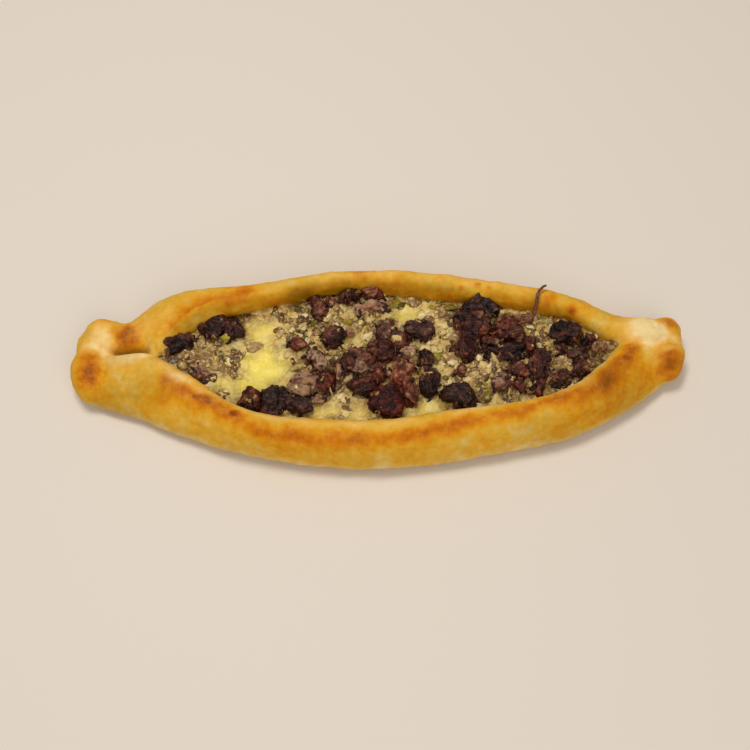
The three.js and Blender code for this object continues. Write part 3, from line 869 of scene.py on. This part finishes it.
def melted_cheese(meat_tree):
    low, high = box_of("cheese")
    xs, ys = (np.arange(low[i] - CHEESE_MARGIN, high[i] + CHEESE_MARGIN, CHEESE_CELL) for i in (0, 1))
    gx, gy = np.meshgrid(xs, ys, indexing="ij")
    flat = np.stack([gx.ravel(), gy.ravel(), np.zeros(gx.size)], axis=1)
    poured = tops(OPENING, flat[:, 0], flat[:, 1]) > 0
    mask = spread_out(poured.reshape(gx.shape), int(UNDER_ROLL / CHEESE_CELL))
    chunk_tops = tops(meat_tree, flat[:, 0], flat[:, 1])
    covered = chunk_tops > CHEESE_LEVEL

    at = flat[mask.ravel()]
    smooth, yellow, juice_and_shade = cheese_zones(at)
    rough = 1 - 0.85 * smooth
    level, kind, dome = lumpy_level(at, low, high, rough)
    level, drape, to_meat = draped(at, level, flat[covered], chunk_tops[covered])
    heights = np.full(gx.shape, CHEESE_LEVEL)
    heights[mask] = level
    piece, used = slab("melted_cheese", xs, ys, heights, low[2], mask)

    def mark(name, values):
        whole = np.zeros(gx.shape)
        whole[mask] = values
        attribute(piece.data, name, np.tile(whole[used], 2))

    # Painted shade in the gaps between lumps; beside the chunks, juice stain together with painted shade; the
    # patches add juice stain, and painted shade along the rims.
    gaps = smoothstep(1 - dome, 0.25, 0.8) * rough
    soaked_and_shaded = np.clip(0.8 + 0.5 * layered(at, 9, 63), 0.3, 1)
    near_meat = soaked_and_shaded * np.exp(-to_meat / DARKENING_REACH) * (1 - 0.5 * smooth) * (1 - 0.7 * drape)
    mark("yellow", yellow)
    mark("shown", np.clip(1.4 * rough - 0.25, 0, 1))
    mark("lump", np.clip(kind - 0.25 * juice_and_shade, 0, 1))
    mark("stain_and_shade", np.clip(0.28 * gaps + near_meat + 0.7 * juice_and_shade, 0, 0.95))
    return dressed(piece, cheese_material(), "melted_cheese", "cheese")


# ---- Small things in the filling ----------------------------------------------------------------

# Where each kind lies: x, y, half-lengths, how thick.
MINCE_ZONES = [
    (-98, 4, 18, 14, 1.0), (-44, 24, 12, 12, 0.9), (-36, -6, 12, 10, 0.6), (50, -10, 20, 14, 0.8),
    (96, 0, 30, 18, 1.0), (10, 10, 20, 14, 0.5), (-30, 36, 12, 8, 0.8),
]
CURD_ZONES = [
    (-33, 6, 5, 5, 1.0), (14, 5, 10, 5, 1.0), (-15, 18, 8, 9, 0.8), (40, -12, 9, 12, 1.0),
    (64, -14, 12, 8, 0.9), (36, 18, 8, 9, 0.8), (98, 10, 10, 9, 0.8), (-28, 32, 5, 4, 1.0),
    (-44, 20, 10, 10, 0.5), (90, 24, 9, 5, 0.8), (-84, 3, 10, 10, 0.5), (110, -4, 12, 9, 0.5),
    (20, 32, 12, 6, 0.5), (-34, -14, 10, 6, 0.5),
]
SHRED_ZONES = [
    (-104, 16, 14, 12, 0.7), (-60, -22, 20, 8, 0.8), (-20, 0, 34, 20, 0.9), (70, 8, 30, 24, 1.0),
    (100, -8, 22, 16, 1.0), (-20, 38, 22, 8, 1.0), (-98, -4, 14, 10, 0.7), (62, 22, 16, 16, 1.0),
    (-66, -24, 16, 7, 1.0),
]
PEPPER_ZONES = [
    (-87, 5, 4, 4, 1.0), (35.6, 2, 5, 5, 1.0), (-7, 28, 6, 4, 0.8), (-45, 22, 12, 10, 0.7),
    (58, -16, 8, 6, 0.8), (20, 36, 24, 5, 0.6), (94, 10, 10, 8, 0.4), (-100, 8, 14, 10, 0.5),
]
# Lumps, by their joined mesh: how many, where, and how thick elsewhere; from what to what size, the
# proportions of their half-lengths, the share sunk in the cheese, and how ragged.
SMALL_LUMPS = {
    "minced_meat": {
        "slot": "roast_meat", "count": 210, "zones": MINCE_ZONES, "elsewhere": 0.2,
        "sizes": (1.3, 3.2), "shape": (1.25, 0.95, 0.65), "sunk": 0.58, "ragged": 0.5,
    },
    "cheese_curds": {
        "slot": "melted_cheese", "count": 130, "zones": CURD_ZONES, "elsewhere": 0.05,
        "sizes": (1.0, 2.8), "shape": (1.4, 0.95, 0.6), "sunk": 0.64, "ragged": 0.6,
    },
    "pepper_bits": {
        "slot": "melted_cheese", "count": 50, "zones": PEPPER_ZONES, "elsewhere": 0.03,
        "sizes": (1.2, 2.9), "shape": (1.3, 0.95, 0.5), "sunk": 0.5, "ragged": 0.45,
    },
}
EDGE_REACH = 1.6  # how far from a chunk's edge shreds lie
STRAND_SIDES = 6
STRAND_STEP = 0.8
STRAND_LIFT = 0.1  # of its thickness, over what it lies on


def thick(x, y, zones, elsewhere):
    at = np.stack([x, y, np.zeros(len(x))], axis=1)
    return np.maximum(elsewhere, np.max([much * patch(at, *spot) for *spot, much in zones], axis=0))


def strewn(count, zones, elsewhere, random, free):
    """Places over the filling that free finds free, denser in the zones."""
    low, high = box_of("cheese")
    x, y = (random.uniform(low[i] + 2, high[i] - 2, 60 * count) for i in (0, 1))
    kept = random.uniform(0, 1, len(x)) < thick(x, y, zones, elsewhere)
    kept &= (tops(OPENING, x, y) > 0) & free(x, y)
    return x[kept][:count], y[kept][:count]


def joined(name, points, faces, values):
    mesh = bpy.data.meshes.new(name)
    mesh.from_pydata((points * MM).tolist(), [], faces)
    for key, value in values.items():
        attribute(mesh, key, value)
    return added(name, mesh)


def lumpy_bits(name, x, y, sizes, sunk, ragged, ground, random):
    """Uneven lumps as one mesh, each with its own tone. sizes are half-lengths, sunk is a share of them."""
    ball = bmesh.new()
    bmesh.ops.create_icosphere(ball, subdivisions=3, radius=1)
    unit = np.array([corner.co for corner in ball.verts])
    faces = np.array([[corner.index for corner in face.verts] for face in ball.faces])
    ball.free()
    height = tops(ground, x, y)
    points, tones = [], random.uniform(0, 1, len(x))
    for i, size in enumerate(sizes):
        own = unit + 7 * i
        shape = unit * (1 + ragged * (1.1 * noise(own, 1.1, 81) + 0.6 * noise(own, 0.5, 82)))[:, None] * size
        shape = shape @ turned(*random.uniform(-0.5, 0.5, 2), random.uniform(-math.pi, math.pi))
        points.append(shape + (x[i], y[i], height[i] + size[2] * (1 - 2 * sunk)))
    corners = (faces + len(unit) * np.arange(len(x))[:, None, None]).reshape(-1, 3).tolist()
    return joined(name, np.concatenate(points), corners, {"tone": np.repeat(tones, len(unit))})


def strands(name, x, y, lengths, thickness, ground, random):
    """Bent tapering strands as one mesh, laid over what is under them."""
    points, faces, tones = [], [], []
    around = np.arange(STRAND_SIDES) * 2 * math.pi / STRAND_SIDES
    for i, length in enumerate(lengths):
        count = max(5, int(length / STRAND_STEP))
        heading = random.uniform(-math.pi, math.pi) + np.cumsum(random.normal(0, 0.28, count))
        step = np.stack([np.cos(heading), np.sin(heading)], axis=1) * length / count
        plan = (x[i], y[i]) + np.cumsum(step, axis=0) - step.sum(0) / 2
        height = np.maximum(tops(ground, *plan.T), CHEESE_LEVEL)
        for _ in range(2):
            height = np.convolve(np.pad(height, 1, "edge"), (0.25, 0.5, 0.25), "valid")
        share = np.linspace(0, 1, count)
        taper = 0.25 + 0.75 * np.sin(math.pi * share) ** 0.6
        round_here = thickness[i] * taper * random.uniform(0.75, 1.25, count)
        across = np.stack([-np.sin(heading), np.cos(heading), np.zeros(count)], axis=1)
        middle = np.column_stack([plan, height + STRAND_LIFT * thickness[i]])
        first = STRAND_SIDES * len(points)
        for place, side, size in zip(middle, across, round_here):
            upward = np.sin(around)[:, None] * np.array((0, 0, 0.8)) * size
            points.append(place + (np.cos(around)[:, None] * side * size + upward))
        for start in range(first, first + (count - 1) * STRAND_SIDES, STRAND_SIDES):
            for a in range(STRAND_SIDES):
                b = (a + 1) % STRAND_SIDES
                faces.append([start + a, start + b, start + STRAND_SIDES + b, start + STRAND_SIDES + a])
        faces.append([first + a for a in reversed(range(STRAND_SIDES))])
        faces.append([first + (count - 1) * STRAND_SIDES + a for a in range(STRAND_SIDES)])
        tones += [random.uniform(0, 1)] * (count * STRAND_SIDES)
    return joined(name, np.concatenate(points), faces, {"tone": tones})


def small_material(name, stops, grain, rough, specular, depth=0.16, cheesy=0.0):
    """cheesy: how much melted cheese lies over it."""
    s = Shader(name)
    base = s.ramp(s.total(s.value_of("tone"), s.cloud(1.3, -grain, grain)), stops)
    if cheesy:
        melted = s.ramp(s.noise(1.2, 3), [(0.3, "C8A45C"), (0.7, "E8CE84")])
        base = s.mix(s.spread(s.noise(1.9, 3), 0.62 - 0.25 * cheesy, 0.72 - 0.25 * cheesy), base, melted)
    return s.finish(
        Base_Color=base,
        Roughness=s.cloud(1.1, *rough),
        Normal=s.bump(s.noise(0.6, 3), depth, 0.7),
        Specular_IOR_Level=specular,
    )


def half_lengths(count, low, high, shape, random):
    """Sizes from low to high, more of them small, times the shape's proportions, each a little off."""
    size = low + (high - low) * random.uniform(0, 1, count) ** 1.4
    return size[:, None] * np.array(shape) * random.uniform(0.75, 1.25, (count, 3))


def small_looks():
    return {
        "minced_meat": small_material(
            "minced_meat", [(0.0, "4A2C16"), (0.35, "70502E"), (0.7, "987346"), (1.0, "B8965C")],
            0.1, (0.3, 0.55), 0.4, cheesy=0.4,
        ),
        "cheese_curds": small_material(
            "cheese_curds", [(0.0, "C4A262"), (0.4, "DABC76"), (0.8, "E8CE8E"), (1.0, "EEDAA6")],
            0.12, (0.2, 0.45), 0.5,
        ),
        "pepper_bits": small_material(
            "pepper_bits", [(0.0, "42340A"), (0.4, "6E5E10"), (0.8, "94821E"), (1.0, "B09C30")],
            0.1, (0.2, 0.4), 0.4, depth=0.08,
        ),
        "meat_shreds": small_material(
            "meat_shreds", [(0.0, "150706"), (0.5, "3E1C12"), (0.85, "6E4028"), (1.0, "966646")],
            0.2, (0.34, 0.6), 0.35,
        ),
    }


def small_things(cheese, meat):
    melted, everything, chunks = tree_of([cheese]), tree_of([cheese, *meat]), tree_of(meat)
    random = np.random.default_rng(17)
    looks = small_looks()

    def unmelted(x, y):
        return thick(x, y, [spot[:5] for spot in SMOOTH_CHEESE], 0) < 0.45

    def between_chunks(x, y):
        return unmelted(x, y) & (tops(chunks, x, y) < CHEESE_LEVEL) & (thick(x, y, JUICE_AND_SHADE, 0) < 0.6)

    def at_edges(x, y):
        way = random.uniform(-math.pi, math.pi, len(x))
        here = tops(chunks, x, y) > CHEESE_LEVEL
        beside = tops(chunks, x + EDGE_REACH * np.cos(way), y + EDGE_REACH * np.sin(way)) > CHEESE_LEVEL
        return unmelted(x, y) & (here != beside)

    def scatter_strands(name, slot, look, where, length, thickness):
        x, y = strewn(*where)
        lengths, widths = random.uniform(*length, len(x)), random.uniform(*thickness, len(x))
        dressed(strands(name, x, y, lengths, widths, everything, random), look, slot)

    for name, kind in SMALL_LUMPS.items():
        x, y = strewn(kind["count"], kind["zones"], kind["elsewhere"], random, between_chunks)
        sizes = half_lengths(len(x), *kind["sizes"], kind["shape"], random)
        piece = lumpy_bits(name, x, y, sizes, kind["sunk"], kind["ragged"], melted, random)
        dressed(piece, looks[name], kind["slot"])
    threads = (30, CURD_ZONES, 0.1, random, between_chunks)
    scatter_strands("cheese_threads", "melted_cheese", looks["cheese_curds"], threads, (3, 8), (0.35, 0.6))
    shreds = (420, SHRED_ZONES, 0.25, random, at_edges)
    scatter_strands("meat_shreds", "roast_meat", looks["meat_shreds"], shreds, (2.5, 7), (0.6, 1.5))


# ---- Crisp shred --------------------------------------------------------------------------------

SHRED_CELL = 0.22
SHRED_SMOOTHING = 6
SHRED_GROWTH = 0.12


def shred_material():
    s = Shader("crisp_shred")
    base = s.ramp(s.noise(1.5, 3), [(0.3, "451A0A"), (0.7, "84421C")])
    return s.finish(Base_Color=base, Roughness=0.45, Normal=s.bump(s.noise(0.6, 2), 0.1, 0.6))


def crisp_shred():
    piece = fine_copy("crisp_shred", "crisp_strand", SHRED_CELL, SHRED_SMOOTHING)
    mesh = piece.data
    at, way = places(mesh), outward(mesh)
    at += way * (SHRED_GROWTH + 0.3 * noise(at, 1.6, 61) + 0.12 * noise(at, 0.7, 62))[:, None]
    at[:, 2] = np.minimum(at[:, 2], box_of("crisp_strand")[1][2])
    put(mesh, at)
    return dressed(piece, shred_material(), "crisp_shred", "crisp_strand")


# ---- Stage --------------------------------------------------------------------------------------

CAMERA = {"elevation": 60, "azimuth": -1.9, "lens": 60, "distance": 698, "target": (-2.3, -4.9, 10)}
# Lights and the floor's half-length are in metres.
LIGHTS = {
    "key": {"place": (-0.24, 0.34, 1.4), "size": (0.6, 0.4), "power": 9.6, "tint": "FFFBF5"},
    "fill": {"place": (0.35, -1.2, 0.9), "size": (1.2, 1.0), "power": 6.0, "tint": "FFFAF3"},
}
SURROUNDINGS, SURROUNDING_LIGHT = "F7F4F0", 0.42
FLOOR, FLOOR_HALF = "E6DBCE", 30.0


def camera():
    elevation, azimuth = math.radians(CAMERA["elevation"]), math.radians(CAMERA["azimuth"])
    level = math.cos(elevation)
    back = Vector((math.sin(azimuth) * level, -math.cos(azimuth) * level, math.sin(elevation)))
    made = added("camera", bpy.data.cameras.new("camera"))
    made.data.lens = CAMERA["lens"]
    made.location = (Vector(CAMERA["target"]) + back * CAMERA["distance"]) * MM
    made.rotation_euler = (-back).to_track_quat("-Z", "Y").to_euler()
    bpy.context.scene.camera = made


def area_light(name, place, size, power, tint):
    light = bpy.data.lights.new(name, "AREA")
    light.shape, light.size, light.size_y = "RECTANGLE", size[0], size[1]
    light.energy, light.color = power, colour(tint)[:3]
    made = added(name, light)
    made.location = place
    made.rotation_euler = (-Vector(place)).to_track_quat("-Z", "Y").to_euler()


def stage():
    mesh = bpy.data.meshes.new("floor")
    corners = [(x * FLOOR_HALF, y * FLOOR_HALF, 0) for x, y in ((-1, -1), (1, -1), (1, 1), (-1, 1))]
    mesh.from_pydata(corners, [], [(0, 1, 2, 3)])
    floor = added("floor", mesh)
    floor.data.materials.append(Shader("floor").finish(Base_Color=colour(FLOOR), Roughness=0.6))
    for name, light in LIGHTS.items():
        area_light(name, **light)
    world = bpy.data.worlds.new("studio")
    world.use_nodes = True
    background = world.node_tree.nodes["Background"]
    background.inputs["Color"].default_value = colour(SURROUNDINGS)
    background.inputs["Strength"].default_value = SURROUNDING_LIGHT
    bpy.context.scene.world = world
    bpy.context.scene.view_settings.view_transform = "Standard"


# ---- The pide -----------------------------------------------------------------------------------

camera()
baked_crust()
meat = roast_meat()
cheese = melted_cheese(tree_of(meat))
small_things(cheese, meat)
crisp_shred()
stage()
